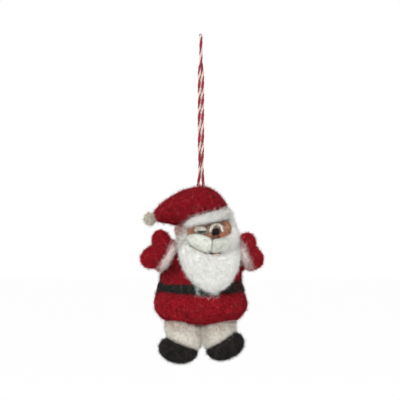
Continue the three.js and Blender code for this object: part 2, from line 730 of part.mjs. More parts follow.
function makeFigure() {
  const stitches = makeStitches();
  const body = makeBody();
  const head = makeHead(body);
  const brim = makeBrim(head);
  const crown = makeCrown(head, brim, stitches);
  const pompom = makePompom(crown);
  const belt = makeBelt(body);
  const buckle = makeBuckle(body, belt);
  const beard = makeBeard([head, brim, crown, body.coat, belt, buckle]);
  const hair = makeHair([head, brim, crown, body.coat, beard]);

  const faceCarriers = [head, brim, beard];
  const leftLobe = makeMoustache('left', MOUSTACHE_LEFT_LENGTH, -0.33, faceCarriers);
  const rightLobe = makeMoustache('right', MOUSTACHE_RIGHT_LENGTH, 0.595, [...faceCarriers, leftLobe]);
  const underEyes = [...faceCarriers, leftLobe, rightLobe];
  const nose = makeNose(underEyes);
  const leftEye = makeEye(
    'left',
    { width: EYE_LEFT_WIDTH, height: EYE_LEFT_HEIGHT, sideShare: -0.33, riseShare: 0.19, roll: 0 },
    { width: PUPIL_LEFT_WIDTH, height: PUPIL_LEFT_HEIGHT, sideShare: -0.265, riseShare: 0.12 },
    [...underEyes, nose],
  );
  const rightEye = makeEye(
    'right',
    { width: EYE_RIGHT_WIDTH, height: EYE_RIGHT_HEIGHT, sideShare: 0.3, riseShare: 0.184, roll: 0 },
    { width: PUPIL_RIGHT_WIDTH, height: PUPIL_RIGHT_HEIGHT, sideShare: 0.27, riseShare: 0.145 },
    [...underEyes, nose],
  );
  const mouth = makeMouth([head, beard, leftLobe, rightLobe]);

  const arms = ['left', 'right'].flatMap((side) => {
    const sleeve = makeSleeve(side, [body.coat, head, beard, hair]);
    const cuff = makeCuff(side, [body.coat, head, beard, hair, sleeve]);
    const mitten = makeMitten(side, [body.coat, head, beard, hair, crown, pompom, sleeve, cuff]);
    return [sleeve, cuff, mitten];
  });

  const leftLeg = makeLeg('left', [body.core, body.coat]);
  const rightLeg = makeLeg('right', [body.core, body.coat, leftLeg]);
  const leftBoot = makeBoot('left', [body.coat, leftLeg, rightLeg]);
  const rightBoot = makeBoot('right', [body.coat, rightLeg, leftLeg]);

  const figure = new THREE.Group();
  figure.add(body.core, body.coat, head, brim, crown, pompom, hair, beard, leftLobe, rightLobe, nose);
  figure.add(...leftEye, ...rightEye, ...mouth, belt, buckle, ...arms);
  figure.add(leftLeg, rightLeg, leftBoot, rightBoot, ...stitches);
  figure.position.z = hatTopZ;
  return figure;
}

const ornament = new THREE.Group();
ornament.add(...makeHanger(), makeFigure());

export default ornament;
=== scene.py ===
# Santa ornament: needle-felted wool, hanging from a loop of two-colour twine. Lengths are metres.
# Left and right are as seen from the front, and the face looks along -Y.

import math

import bmesh
import bpy
import numpy as np
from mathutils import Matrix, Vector, noise
from mathutils.bvhtree import BVHTree


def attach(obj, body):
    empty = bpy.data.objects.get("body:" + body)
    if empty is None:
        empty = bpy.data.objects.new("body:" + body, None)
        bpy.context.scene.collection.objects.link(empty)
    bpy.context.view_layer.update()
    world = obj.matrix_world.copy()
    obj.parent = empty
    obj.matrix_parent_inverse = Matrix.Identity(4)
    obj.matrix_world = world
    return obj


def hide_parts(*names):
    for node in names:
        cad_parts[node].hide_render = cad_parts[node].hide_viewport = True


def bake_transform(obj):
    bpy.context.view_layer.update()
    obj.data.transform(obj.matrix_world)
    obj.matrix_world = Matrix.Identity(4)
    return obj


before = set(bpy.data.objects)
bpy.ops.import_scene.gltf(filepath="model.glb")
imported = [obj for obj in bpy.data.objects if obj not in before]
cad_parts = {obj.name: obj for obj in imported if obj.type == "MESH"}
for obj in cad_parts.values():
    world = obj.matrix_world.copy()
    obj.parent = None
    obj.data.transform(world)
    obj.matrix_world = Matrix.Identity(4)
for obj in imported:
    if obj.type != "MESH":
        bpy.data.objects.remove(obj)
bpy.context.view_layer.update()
bpy.context.scene.view_settings.view_transform = "Standard"


# Camera
# A long lens looks straight at the front of the ornament, level with its beard.
PICTURE_WIDTH = 0.256
PICTURE_CENTRE = (-0.0006, -0.1047)
CAMERA_DISTANCE = 1.4

bpy.ops.object.camera_add(
    location=(PICTURE_CENTRE[0], -CAMERA_DISTANCE, PICTURE_CENTRE[1]),
    rotation=(math.pi / 2, 0, 0),
)
camera = bpy.context.object
camera.data.lens = camera.data.sensor_width * CAMERA_DISTANCE / PICTURE_WIDTH
bpy.context.scene.camera = camera


# Twine loop
# Baker's twine of two cotton plies, one deep red and one off-white, doubled into a loop whose two strands hang side
# by side. It is one closed line, cut into pieces only where the ornament swings and turns.
MM = 0.001
TWINE_DIAMETER = 1.8 * MM
PLY_PITCH = 11.65 * MM
RED_FRONT_HEIGHTS = (-4.9, -19, -31.1, -41.7, -51, -65.4, -77.8, -91.3)
PLY_FLATTENING = 1.98
YARN_GROOVES = 5
YARN_GROOVE_SHARE = 0.07
YARN_PITCH = 3.2 * MM
TWINE_STEP = 0.3 * MM
CAP_STEPS = round(TWINE_DIAMETER / 2 / TWINE_STEP)
RED_PLY_SHARE = 1.12
PLY_SIDES = 20
FIRST_RED_TURN = 0.75
SPLINE_STEPS = 40

# The route of strand a from its knot up to the eye. Strand b is the same, turned half round.
EYE_ROUTE = [
    (0, 0.00105, -0.016), (0, 0.00105, -0.0148), (0, 0.0015, -0.012), (0, 0.0024, -0.009),
    (0, 0.0033, -0.0059), (0, 0.0037, -0.0028), (0, 0.0026, -0.0002), (0, 0, 0.0009),
    (0, -0.0026, -0.0002), (0, -0.0037, -0.0028), (0, -0.0033, -0.0059), (0, -0.0024, -0.009),
    (0, -0.0015, -0.012), (0, -0.00105, -0.0148), (0, -0.00105, -0.016),
]
STRAND_ROUTE = [
    (0, 0.00105, -0.0163), (0, 0.00105, -0.017), (0.0004, 0.00097, -0.0188), (0.00074, 0.00074, -0.0206),
    (0.00097, 0.0004, -0.0224), (0.00105, 0, -0.0242), (0.00108, -0.00005, -0.03), (0.00106, 0.0001, -0.037),
    (0.00104, 0.00015, -0.044), (0.00107, 0, -0.051), (0.00108, -0.00012, -0.058), (0.00105, -0.0001, -0.065),
    (0.00105, 0, -0.071), (0.00099, -0.00034, -0.0744), (0.00084, -0.00064, -0.0774), (0.00065, -0.00082, -0.0803),
    (0.00065, -0.00082, -0.0814),
]
LEG_ROUTE = [
    (0.00065, -0.00082, -0.0832), (0.00065, -0.00082, -0.0844), (0.00094, -0.00052, -0.0876),
    (0.00115, -0.0002, -0.0908), (0.0016, 0, -0.0942), (0.0017, 0, -0.0952),
]
STITCH_ROUTE = [(0.0017, 0, -0.0965), (0.00175, 0, -0.098), (0.0015, 0, -0.1), (0.0009, 0, -0.102)]
SPLICE_Z = -0.0596
NOD_Z = LEG_ROUTE[-1][2]


def turned_half(route):
    return [(-x, -y, z) for x, y, z in route]


def smooth_line(route, step):
    """Evenly spaced points on a curve that runs through the points of a route."""
    knots = np.array(route, float)
    knots = np.vstack([2 * knots[0] - knots[1], knots, 2 * knots[-1] - knots[-2]])
    fine = []
    for a, b, c, d in zip(knots, knots[1:], knots[2:], knots[3:]):
        t = np.linspace(0, 1, SPLINE_STEPS, endpoint=False)[:, None]
        fine.append(0.5 * (2 * b + (c - a) * t + (2 * a - 5 * b + 4 * c - d) * t**2 + (3 * b - a - 3 * c + d) * t**3))
    fine = np.vstack([*fine, knots[-2][None]])
    along = np.r_[0, np.cumsum(np.linalg.norm(np.diff(fine, axis=0), axis=1))]
    even = np.linspace(0, along[-1], round(along[-1] / step) + 1)
    return np.stack([np.interp(even, along, fine[:, i]) for i in range(3)], axis=1), even


def carried_frames(line):
    """Two directions across a line at each of its points, carried along it without turning."""
    along = np.gradient(line, axis=0)
    along /= np.linalg.norm(along, axis=1)[:, None]
    across = np.empty_like(line)
    across[0] = np.cross(along[0], (0, 1, 0))
    for i, tangent in enumerate(along):
        held = across[max(i - 1, 0)]
        across[i] = held - tangent * (held @ tangent)
        across[i] /= np.linalg.norm(across[i])
    return across, np.cross(along, across)


half_route = [*STITCH_ROUTE[::-1], *LEG_ROUTE[::-1], *STRAND_ROUTE[::-1]]
twine_line, twine_along = smooth_line([*half_route, *EYE_ROUTE, *turned_half(half_route[::-1])], TWINE_STEP)
twine_across, twine_beside = carried_frames(twine_line)

# The lay is uneven, as in the real twine. Turns are counted each way from the middle of the eye, and the red ply
# faces the front after three quarters of a turn and each whole turn more.
twine_middle = twine_along[-1] / 2
rising = twine_along <= twine_middle
front_places = np.interp(np.array(RED_FRONT_HEIGHTS[::-1]) * MM, twine_line[rising, 2], twine_along[rising])[::-1]
places_from_middle = np.r_[0, twine_middle - front_places, twine_middle]
front_turns = FIRST_RED_TURN + np.arange(len(front_places))
turns_from_middle = np.r_[0, front_turns, front_turns[-1] + front_places[-1] / PLY_PITCH]
from_middle = twine_along - twine_middle
twine_turns = np.sign(from_middle) * np.interp(np.abs(from_middle), places_from_middle, turns_from_middle)


def laid_plies(name, line, along, turns, across, beside, round_first=False, round_last=False):
    """Twine along a line, as two plies laid round each other, with the lay as its UV map."""
    turn = 2 * np.pi * turns
    around = np.linspace(0, 2 * np.pi, PLY_SIDES, endpoint=False)
    ply_radius = TWINE_DIAMETER / 4
    narrowing = np.ones(len(line))
    cap = np.sqrt(1 - (np.arange(CAP_STEPS, 0, -1) / (CAP_STEPS + 0.5)) ** 2)
    if round_first:
        narrowing[:CAP_STEPS] = cap
    if round_last:
        narrowing[-CAP_STEPS:] = cap[::-1]
    mesh = bmesh.new()
    lay = mesh.loops.layers.uv.new("lay")
    for ply in range(2):
        phase = turn + ply * np.pi
        outward = np.cos(phase)[:, None] * across + np.sin(phase)[:, None] * beside
        sideways = np.cos(phase)[:, None] * beside - np.sin(phase)[:, None] * across
        groove = np.cos(YARN_GROOVES * (around[None] - np.pi * (along / YARN_PITCH)[:, None]))
        share = RED_PLY_SHARE if ply == 0 else 2 - RED_PLY_SHARE
        radius = ply_radius * narrowing[:, None] * (1 - YARN_GROOVE_SHARE * (1 - groove)) * share
        centre = line + outward * (ply_radius * (2 - share) * narrowing)[:, None]
        rings = (
            centre[:, None]
            + (radius * np.cos(around))[..., None] * outward[:, None]
            + PLY_FLATTENING * (radius * np.sin(around))[..., None] * sideways[:, None]
        )
        rows = [[mesh.verts.new(point) for point in ring] for ring in rings]
        for i, (row, after) in enumerate(zip(rows, rows[1:])):
            for j in range(PLY_SIDES):
                k = (j + 1) % PLY_SIDES
                face = mesh.faces.new((row[j], row[k], after[k], after[j]))
                corners = ((i, j), (i, j + 1), (i + 1, j + 1), (i + 1, j))
                for loop, (down, side) in zip(face.loops, corners):
                    loop[lay].uv = (along[down] / TWINE_DIAMETER, side / PLY_SIDES)
                face.material_index = ply
        for end in (rows[0][::-1], rows[-1]):
            mesh.faces.new(end).material_index = ply
    data = bpy.data.meshes.new(name)
    mesh.to_mesh(data)
    mesh.free()
    data.shade_smooth()
    piece = bpy.data.objects.new(name, data)
    bpy.context.scene.collection.objects.link(piece)
    return piece


def linear(hex_colour):
    """A hex sRGB colour as the linear values of a shader."""
    channels = [int(hex_colour[i : i + 2], 16) / 255 for i in (0, 2, 4)]
    return (*(c / 12.92 if c <= 0.04045 else ((c + 0.055) / 1.055) ** 2.4 for c in channels), 1.0)


def add_node(material, kind, inputs, **settings):
    """A node with its settings, each input a value or the output that it is linked to."""
    node = material.node_tree.nodes.new(kind)
    for name, value in settings.items():
        setattr(node, name, value)
    for name, value in inputs.items():
        if isinstance(value, bpy.types.NodeSocket):
            material.node_tree.links.new(value, node.inputs[name])
        else:
            node.inputs[name].default_value = value
    return node


def new_material(name, finish):
    """A material and its shader, with those of the shader's own values that are the same all over."""
    material = bpy.data.materials.new(name)
    material.use_nodes = True
    shader = material.node_tree.nodes["Principled BSDF"]
    for socket, value in finish.items():
        shader.inputs[socket].default_value = value
    return material, shader


def tinted(material, factor, *stops):
    """The colour that a ramp gives a factor. A stop is its place on the ramp and its hex colour."""
    ramp = add_node(material, "ShaderNodeValToRGB", {"Fac": factor})
    elements = ramp.color_ramp.elements
    for element, (place, hex_colour) in zip(elements, (stops[0], stops[-1])):
        element.position, element.color = place, linear(hex_colour)
    for place, hex_colour in stops[1:-1]:
        elements.new(place).color = linear(hex_colour)
    return ramp.outputs["Color"]


def clothe(material, shader, colour, height, strength, distance):
    """Gives a shader its colour and a bump from a height."""
    bump = add_node(material, "ShaderNodeBump", {"Height": height, "Strength": strength, "Distance": distance})
    material.node_tree.links.new(colour, shader.inputs["Base Color"])
    material.node_tree.links.new(bump.outputs["Normal"], shader.inputs["Normal"])


def spun_cotton(name, light, dark):
    """Dyed cotton, spun and plied. The eye sees fine fibres along the yarn, matte, with a soft edge."""
    material, shader = new_material(name, {"Roughness": 0.9, "Sheen Weight": 0.2})
    lay = add_node(material, "ShaderNodeUVMap", {}, uv_map="lay")
    fibres_along, fibres_around = 1.6, 9.0
    drawn = add_node(
        material, "ShaderNodeMapping", {"Vector": lay.outputs["UV"], "Scale": (fibres_along, fibres_around, 1)}
    )
    fibres = add_node(
        material, "ShaderNodeTexNoise", {"Vector": drawn.outputs["Vector"], "Scale": 1.0, "Detail": 3.0}
    ).outputs["Fac"]
    colour = tinted(material, fibres, (0.32, dark), (0.62, light))
    clothe(material, shader, colour, fibres, strength=0.5, distance=0.1 * MM)
    return material


cotton = [
    spun_cotton("red_cotton_ply", "930f28", "5a0819"),
    spun_cotton("white_cotton_ply", "ceb4ac", "a4847c"),
]


def twine_index(z, from_start):
    """The point of the twine's line nearest a height, on strand a from its start or on strand b from its end."""
    half = len(twine_line) // 2
    heights = np.abs(twine_line[:, 2] - z)
    return int(np.argmin(heights[:half])) if from_start else half + int(np.argmin(heights[half:]))


nod_a, nod_b = twine_index(NOD_Z, True), twine_index(NOD_Z, False)
splice_a, splice_b = twine_index(SPLICE_Z, True), twine_index(SPLICE_Z, False)

# First and last point of each piece, and whether its first and last ends are rounded off.
twine_pieces = {
    "twine_loop": (splice_a, splice_b, False, False),
    "twine_right": (nod_a - CAP_STEPS, splice_a, True, False),
    "twine_left": (splice_b, nod_b + CAP_STEPS, False, True),
    "twine_stitch_right": (0, nod_a + CAP_STEPS, False, True),
    "twine_stitch_left": (nod_b - CAP_STEPS, len(twine_line) - 1, True, False),
}
twines = {}
for name, (first, last, round_first, round_last) in twine_pieces.items():
    kept = slice(first, last + 1)
    twines[name] = laid_plies(
        name, twine_line[kept], twine_along[kept], twine_turns[kept], twine_across[kept], twine_beside[kept],
        round_first, round_last,
    )

# The knot inside the hat is the same twine, tied once on itself.
KNOT_PLACE = (0, 0, -0.1034)
KNOT_REACH = 0.58 * MM
KNOT_RISE = 1.2 * MM
KNOT_STEPS = 72
knot_turn = np.linspace(0, 2 * np.pi, KNOT_STEPS + 1)
knot_route = np.array(KNOT_PLACE) + np.stack(
    [
        KNOT_REACH * (np.sin(knot_turn) + 2 * np.sin(2 * knot_turn)),
        KNOT_REACH * (np.cos(knot_turn) - 2 * np.cos(2 * knot_turn)),
        -KNOT_RISE * np.sin(3 * knot_turn),
    ],
    axis=1,
)
knot_line, knot_along = smooth_line(knot_route, TWINE_STEP)
twines["twine_knot"] = laid_plies(
    "twine_knot", knot_line, knot_along, knot_along / PLY_PITCH, *carried_frames(knot_line), True, True
)
for piece in twines.values():
    for material in cotton:
        piece.data.materials.append(material)

for name, way in (("twine_loop", 1), ("twine_right", 1), ("twine_left", -1)):
    first, last = twine_pieces[name][:2]
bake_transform(twines["twine_loop"])
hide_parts("loop_eye", "strand_a", "strand_b")
for side, leg, stitch in (("right", "leg_a", "stitch_a"), ("left", "leg_b", "stitch_b")):
    lower, sewn = twines[f"twine_{side}"], twines[f"twine_stitch_{side}"]
    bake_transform(lower)
    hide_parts(leg)
    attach(sewn, "figure")
    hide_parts(stitch)
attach(twines["twine_knot"], "figure")
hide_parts("hanger_knot")


# Core of the body
# Undyed wool rolled and needled hard. It carries every other piece, and only its seat shows, between the legs.
WOOL_VOXEL = 0.7 * MM
NEEDLE_SPACING = 1.3 * MM
SKIN_PASSES = 12
COVER_REACH = 0.8 * MM
COVER_START = 0.1 * MM
PLACE_TRIES = 60
NARROWER_PIECES = ("eye_white_right", "pupil_right")

# Loose fibres are drawn four times as thick as real ones and far fewer, which keeps the model light. Those that stand
# are a little shorter along the skin, and a few of them are several times as tall as the rest.
FIBRE_THICKNESS = 0.12 * MM
FIBRE_MOTTLE = 1.1 * MM
TINT_SCATTER = 0.15
ROOT_DEPTH = 0.05 * MM
CURL_SPREAD = 0.45
STANDING_LENGTH = 0.8
STANDING_SAG = 0.3
STANDING_LEAST, STANDING_MORE, STANDING_MOST = 0.6, 1.6, 5.5
PATCH_EDGE = 1.3

frame_shapes = {}
for node_name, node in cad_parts.items():
    node.data.calc_loop_triangles()
    corners = [vertex.co.copy() for vertex in node.data.vertices]
    frame_shapes[node_name] = (corners, [tuple(face.vertices) for face in node.data.loop_triangles])
felt_skins = {}
felt_trees = {}


def mm(*lengths):
    return tuple(length * MM for length in lengths)


def read_rows(items, attribute, width, kind=np.float32):
    rows = np.empty(width * len(items), kind)
    items.foreach_get(attribute, rows)
    return rows.reshape(-1, width)


def solid_copy(name, node_name, centre=(0, 0, 0), factors=1, shift=(0, 0, 0)):
    """The solid of a node as a form with its loose triangles merged, scaled about a centre and shifted."""
    bpy.ops.object.select_all(action="DESELECT")
    form = bpy.data.objects.new(name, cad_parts[node_name].data.copy())
    form.data.materials.clear()
    bpy.context.scene.collection.objects.link(form)
    form.select_set(True)
    bpy.context.view_layer.objects.active = form
    bpy.ops.object.mode_set(mode="EDIT")
    bpy.ops.mesh.select_all(action="SELECT")
    bpy.ops.mesh.remove_doubles(threshold=0.002 * MM)
    bpy.ops.object.mode_set(mode="OBJECT")
    points = (read_rows(form.data.vertices, "co", 3) - centre) * factors + centre + shift
    form.data.vertices.foreach_set("co", points.astype(np.float32).ravel())
    return form


def apply_modifiers(form):
    bpy.context.view_layer.objects.active = form
    for modifier in list(form.modifiers):
        bpy.ops.object.modifier_apply(modifier=modifier.name)


def settled(values, edges, passes):
    """Values at the points of a mesh, drawn halfway to the mean of their neighbours as many times as asked."""
    ends = np.concatenate([edges, edges[:, ::-1]])
    shared = np.bincount(ends[:, 0], minlength=len(values))[:, None]
    for _ in range(passes):
        sums = [np.bincount(ends[:, 0], values[ends[:, 1], i], len(values)) for i in range(3)]
        values = (values + np.stack(sums, axis=1) / shared) / 2
    return values


def felted(form, voxel=WOOL_VOXEL, rounding=40, lump=0.4 * MM, lump_size=6 * MM, dent=0.14 * MM, swell=0.1 * MM):
    """Turns a form to felt: a fine skin, rounded with its bulk kept, then lumped and dented as needles leave it."""
    remesh = form.modifiers.new("skin", "REMESH")
    remesh.mode, remesh.voxel_size = "VOXEL", voxel
    apply_modifiers(form)
    points = read_rows(form.data.vertices, "co", 3).astype(float)
    edges = read_rows(form.data.edges, "vertices", 2, np.int32)
    soft = settled(points, edges, rounding)
    soft += settled(points - soft, edges, rounding)
    form.data.vertices.foreach_set("co", soft.ravel())
    form.data.update()
    for label, size, height in (("lumps", lump_size, lump), ("needle_marks", NEEDLE_SPACING, dent)):
        marks = bpy.data.textures.new(f"{form.name}_{label}", "CLOUDS")
        marks.noise_scale, marks.noise_depth = size, 1
        raised = form.modifiers.new(label, "DISPLACE")
        raised.texture, raised.texture_coords = marks, "LOCAL"
        raised.strength, raised.mid_level = height, 0.5 - swell / (2 * height)
    apply_modifiers(form)
    form.data.shade_smooth()
    return form


def maths(holder, operation, *values):
    """The result of one sum in a node tree."""
    return add_node(holder, "ShaderNodeMath", dict(enumerate(values)), operation=operation).outputs["Value"]


def needled_wool(name, base, dark, light, patches=()):
    """Carded wool, needled into felt: fine fibres swirl every way in one matte, mottled skin that holds no gloss.

    A patch is a place where a little wool of another colour was worked in: its centre, its reach each way, its
    colour, and its share of the wool there.
    """
    swirl_size, swirl_reach = 6 * MM, mm(5, 5, 5)
    fibre_width, fibre_stretch, mottle_size = 0.45 * MM, 0.22, 1.2 * MM
    patch_raggedness, patch_solid, patch_gone = 4.0, 2.4, 3.0
    material, shader = new_material(name, {"Roughness": 1.0, "Specular IOR Level": 0.15})
    place = add_node(material, "ShaderNodeTexCoord", {}).outputs["Object"]
    swirl = add_node(material, "ShaderNodeTexNoise", {"Vector": place, "Scale": 1 / swirl_size, "Detail": 2.0})
    carried = add_node(
        material, "ShaderNodeVectorMath", {0: swirl.outputs["Color"], 1: swirl_reach, 2: place},
        operation="MULTIPLY_ADD",
    )
    stray = add_node(
        material, "ShaderNodeMapping",
        {"Vector": carried.outputs["Vector"], "Rotation": (0.3, 0.5, 0.7), "Scale": (1, 1, fibre_stretch)},
    )
    fibres = add_node(
        material, "ShaderNodeTexNoise", {"Vector": stray.outputs["Vector"], "Scale": 1 / fibre_width, "Detail": 3.0}
    )
    mottle = add_node(material, "ShaderNodeTexNoise", {"Vector": place, "Scale": 1 / mottle_size, "Detail": 4.0})
    blended = maths(material, "ADD", fibres.outputs["Fac"], mottle.outputs["Fac"])
    halved = maths(material, "MULTIPLY", blended, 0.5)
    colour = tinted(material, halved, (0.4, dark), (0.5, base), (0.6, light))
    for centre, reach, patch_colour, share in patches:
        shift, scale = tuple(-c / r for c, r in zip(centre, reach)), tuple(1 / r for r in reach)
        around = add_node(material, "ShaderNodeMapping", {"Vector": place, "Location": shift, "Scale": scale})
        away = add_node(material, "ShaderNodeVectorMath", {0: around.outputs["Vector"]}, operation="LENGTH")
        ragged = maths(material, "MULTIPLY_ADD", halved, patch_raggedness, away.outputs["Value"])
        fading = {"Value": ragged, "From Min": patch_solid, "From Max": patch_gone, "To Min": share, "To Max": 0.0}
        cover = add_node(material, "ShaderNodeMapRange", fading).outputs["Result"]
        layers = {0: cover, 6: colour, 7: linear(patch_colour)}
        colour = add_node(material, "ShaderNodeMix", layers, data_type="RGBA").outputs[2]
    clothe(material, shader, colour, halved, strength=0.6, distance=0.35 * MM)
    return material


def dyed(slot, *dyes):
    """Tints for loose fibres: the share of each dye and its wool, too thin for any pattern to show on it, and matte.

    The slot is not used.
    """
    tints = []
    for share, name, hex_colour in dyes:
        material, _ = new_material(
            name, {"Base Color": linear(hex_colour), "Roughness": 0.9, "Specular IOR Level": 0.2}
        )
        tints.append((share, material))
    return tints


def unit(rows):
    return rows / np.maximum(np.linalg.norm(rows, axis=-1), 1e-12)[..., None]


def fine_threads(name, line, lift, tints, rng):
    """One mesh of fine three-sided threads, each along its own row of points, the tints mottled over them."""
    tangent = unit(np.gradient(line, axis=1))
    side = unit(np.cross(tangent, lift))
    top = np.cross(side, tangent)
    rings = [
        line[:, 1:-1] + FIBRE_THICKNESS / 2 * (np.cos(angle) * side[:, 1:-1] + np.sin(angle) * top[:, 1:-1])
        for angle in (0, 2 * np.pi / 3, 4 * np.pi / 3)
    ]
    count = len(line)
    points = np.concatenate([line[:, :1], np.stack(rings, axis=2).reshape(count, -1, 3), line[:, -1:]], axis=1)
    per_thread = points.shape[1]
    faces = []
    for j, k in ((0, 1), (1, 2), (2, 0)):
        faces.append((0, 1 + k, 1 + j))
        for low in range(1, per_thread - 4, 3):
            faces += [(low + j, low + k, low + 3 + k), (low + j, low + 3 + k, low + 3 + j)]
        faces.append((per_thread - 4 + j, per_thread - 4 + k, per_thread - 1))
    faces = np.array(faces, np.int32)[None] + (np.arange(count, dtype=np.int32) * per_thread)[:, None, None]
    mesh = bpy.data.meshes.new(name)
    mesh.vertices.add(count * per_thread)
    mesh.vertices.foreach_set("co", points.ravel())
    mesh.loops.add(faces.size)
    mesh.loops.foreach_set("vertex_index", faces.ravel())
    mesh.polygons.add(faces.size // 3)
    mesh.polygons.foreach_set("loop_start", np.arange(0, faces.size, 3, dtype=np.int32))
    tone = np.array([noise.noise(Vector(root / FIBRE_MOTTLE)) for root in line[:, 0]])
    tone += rng.normal(0, TINT_SCATTER, count)
    shares = np.cumsum([share for share, _ in tints])
    rank = (np.argsort(np.argsort(tone)) + 0.5) / count
    which = np.searchsorted(shares / shares[-1], rank).astype(np.int32)
    mesh.polygons.foreach_set("material_index", np.repeat(which, faces.shape[1]))
    for _, material in tints:
        mesh.materials.append(material)
    mesh.update(calc_edges=True)
    mesh.shade_smooth()
    threads = bpy.data.objects.new(name, mesh)
    bpy.context.scene.collection.objects.link(threads)
    return threads


def keep_skin(form, node_name):
    """Keeps a felted form's skin, with the smoothed way out at each point, for its own and its neighbours' fibres."""
    data = form.data
    data.calc_loop_triangles()
    points = read_rows(data.vertices, "co", 3).astype(float)
    faces = read_rows(data.loop_triangles, "vertices", 3, np.int32)
    edges = read_rows(data.edges, "vertices", 2, np.int32)
    outward = unit(settled(read_rows(data.vertex_normals, "vector", 3).astype(float), edges, SKIN_PASSES))
    felt_skins[node_name] = (points, faces, outward)
    felt_trees[node_name] = BVHTree.FromPolygons(points.tolist(), faces.tolist())


def open_places(node_name, count, rng, weights):
    """Random places on a felted skin where no neighbour's solid covers it, each with the way out."""
    points, faces, outward = felt_skins[node_name]
    a, b, c = (points[faces[:, i]] for i in range(3))
    area = np.linalg.norm(np.cross(b - a, c - a), axis=1) * weights
    neighbour_points, neighbour_faces = [], []
    for other, (corners, listed) in frame_shapes.items():
        if other != node_name and other not in NARROWER_PIECES:
            neighbour_faces += [tuple(i + len(neighbour_points) for i in face) for face in listed]
            neighbour_points += corners
    neighbours = BVHTree.FromPolygons(neighbour_points, neighbour_faces)
    chances = np.cumsum(area / area.sum())
    places, ways = [], []
    for _ in range(PLACE_TRIES):
        picked = np.minimum(np.searchsorted(chances, rng.random(2 * count)), len(faces) - 1)
        u, v = rng.random((2, 2 * count, 1))
        over = u + v > 1
        u, v = np.where(over, 1 - u, u), np.where(over, 1 - v, v)
        spots = a[picked] + u * (b[picked] - a[picked]) + v * (c[picked] - a[picked])
        for spot, way in zip(spots, outward[faces[picked, 0]]):
            if neighbours.ray_cast(Vector(spot + COVER_START * way), Vector(way), COVER_REACH)[0] is None:
                places.append(spot)
                ways.append(way)
        if len(places) >= count:
            break
    return np.array(places[:count]), np.array(ways[:count])


def loose_fibres(
    name, node_name, count, tints, length=2.6 * MM, rise=0.5 * MM, standing=0.55, flow=None, sway=1.2, bulge=20 * MM,
    weights=1.0,
):
    """Single fibres on a felted skin: some lie on it in low arcs, the others stand off it and blur its outline."""
    rng = np.random.default_rng(sum(map(ord, name)))
    roots, out = open_places(node_name, count, rng, weights)
    count = len(roots)
    turn = (rng.uniform(-1, 1, count) * (np.pi if flow is None else sway))[:, None]
    wanted = np.cross(out, rng.normal(size=(count, 3))) if flow is None else np.tile(flow, (count, 1)).astype(float)
    forward = unit(wanted - out * (wanted * out).sum(1)[:, None])
    sideways = np.cross(out, forward)
    along = forward * np.cos(turn) + sideways * np.sin(turn)
    beside = sideways * np.cos(turn) - forward * np.sin(turn)
    stands = rng.random(count) < standing
    lengths = length * rng.uniform(0.5, 1.5, count) * np.where(stands, STANDING_LENGTH, 1)
    curl = rng.normal(0, CURL_SPREAD, count)
    tall = np.minimum(STANDING_LEAST + rng.exponential(STANDING_MORE, count), STANDING_MOST)
    heights = rise * np.where(stands, tall, rng.uniform(0.1, 0.9, count))
    t = np.linspace(0, 1, 3)[None]
    ahead = lengths[:, None] * t
    aside = (lengths * curl)[:, None] * t**2
    arc = np.where(stands[:, None], t**1.2, np.sin(np.pi * t)) * heights[:, None]
    sag = ahead**2 / (2 * bulge) * np.where(stands, STANDING_SAG, 1)[:, None]
    up = arc - sag - ROOT_DEPTH * (1 - t)
    line = roots[:, None]
    for part, way in ((ahead, along), (aside, beside), (up, out)):
        line = line + part[..., None] * way[:, None]
    return fine_threads(name, line, np.broadcast_to(out[:, None], line.shape), tints, rng)


def set_on_figure(piece):
    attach(piece, "figure")


def drawn_over(name, from_node, onto_node, count, tints, reach=1.6 * MM, **laid):
    """Fibres of one wool that the needle has drawn over the edge of its neighbour, fewer the further from it."""
    points, faces, _ = felt_skins[onto_node]
    centres = points[faces].mean(axis=1)
    from_points = felt_skins[from_node][0]
    low, high = from_points.min(axis=0) - reach, from_points.max(axis=0) + reach
    weights = np.zeros(len(faces))
    for i in np.flatnonzero(((centres > low) & (centres < high)).all(axis=1)):
        hit = felt_trees[from_node].find_nearest(Vector(centres[i]), reach)
        if hit[0] is not None:
            weights[i] = 1 - hit[3] / reach
    set_on_figure(loose_fibres(name, onto_node, count, tints, weights=weights, **laid))


def worked_in(name, node_name, count, tints, centre, reach, **laid):
    """Fibres of another colour worked into one place of a skin, with the place's centre and its reach each way."""
    points, faces, _ = felt_skins[node_name]
    away = np.linalg.norm((points[faces[:, 0]] - centre) / reach, axis=1)
    weights = np.clip(PATCH_EDGE - away, 0, 1)
    set_on_figure(loose_fibres(name, node_name, count, tints, weights=weights, **laid))


def felt_piece(form, node_name, wool, count, tints, **laid):
    """Gives a felted form its wool and its loose fibres, and sets both on the figure in place of their solid."""
    form.data.materials.append(wool)
    keep_skin(form, node_name)
    fibres = loose_fibres(f"{form.name}_fibres", node_name, count, tints, **laid)
    for piece in (form, fibres):
        set_on_figure(piece)
    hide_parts(node_name)


core_wool = needled_wool("core_wool", "dcd5c8", "b3a288", "ece6da")
core_tints = dyed("core_wool", (5, "core_fibre", "e2dccb"), (2, "core_fibre_dark", "a9977c"))
felt_piece(felted(solid_copy("core", "body_core")), "body_core", core_wool, 2500, core_tints)
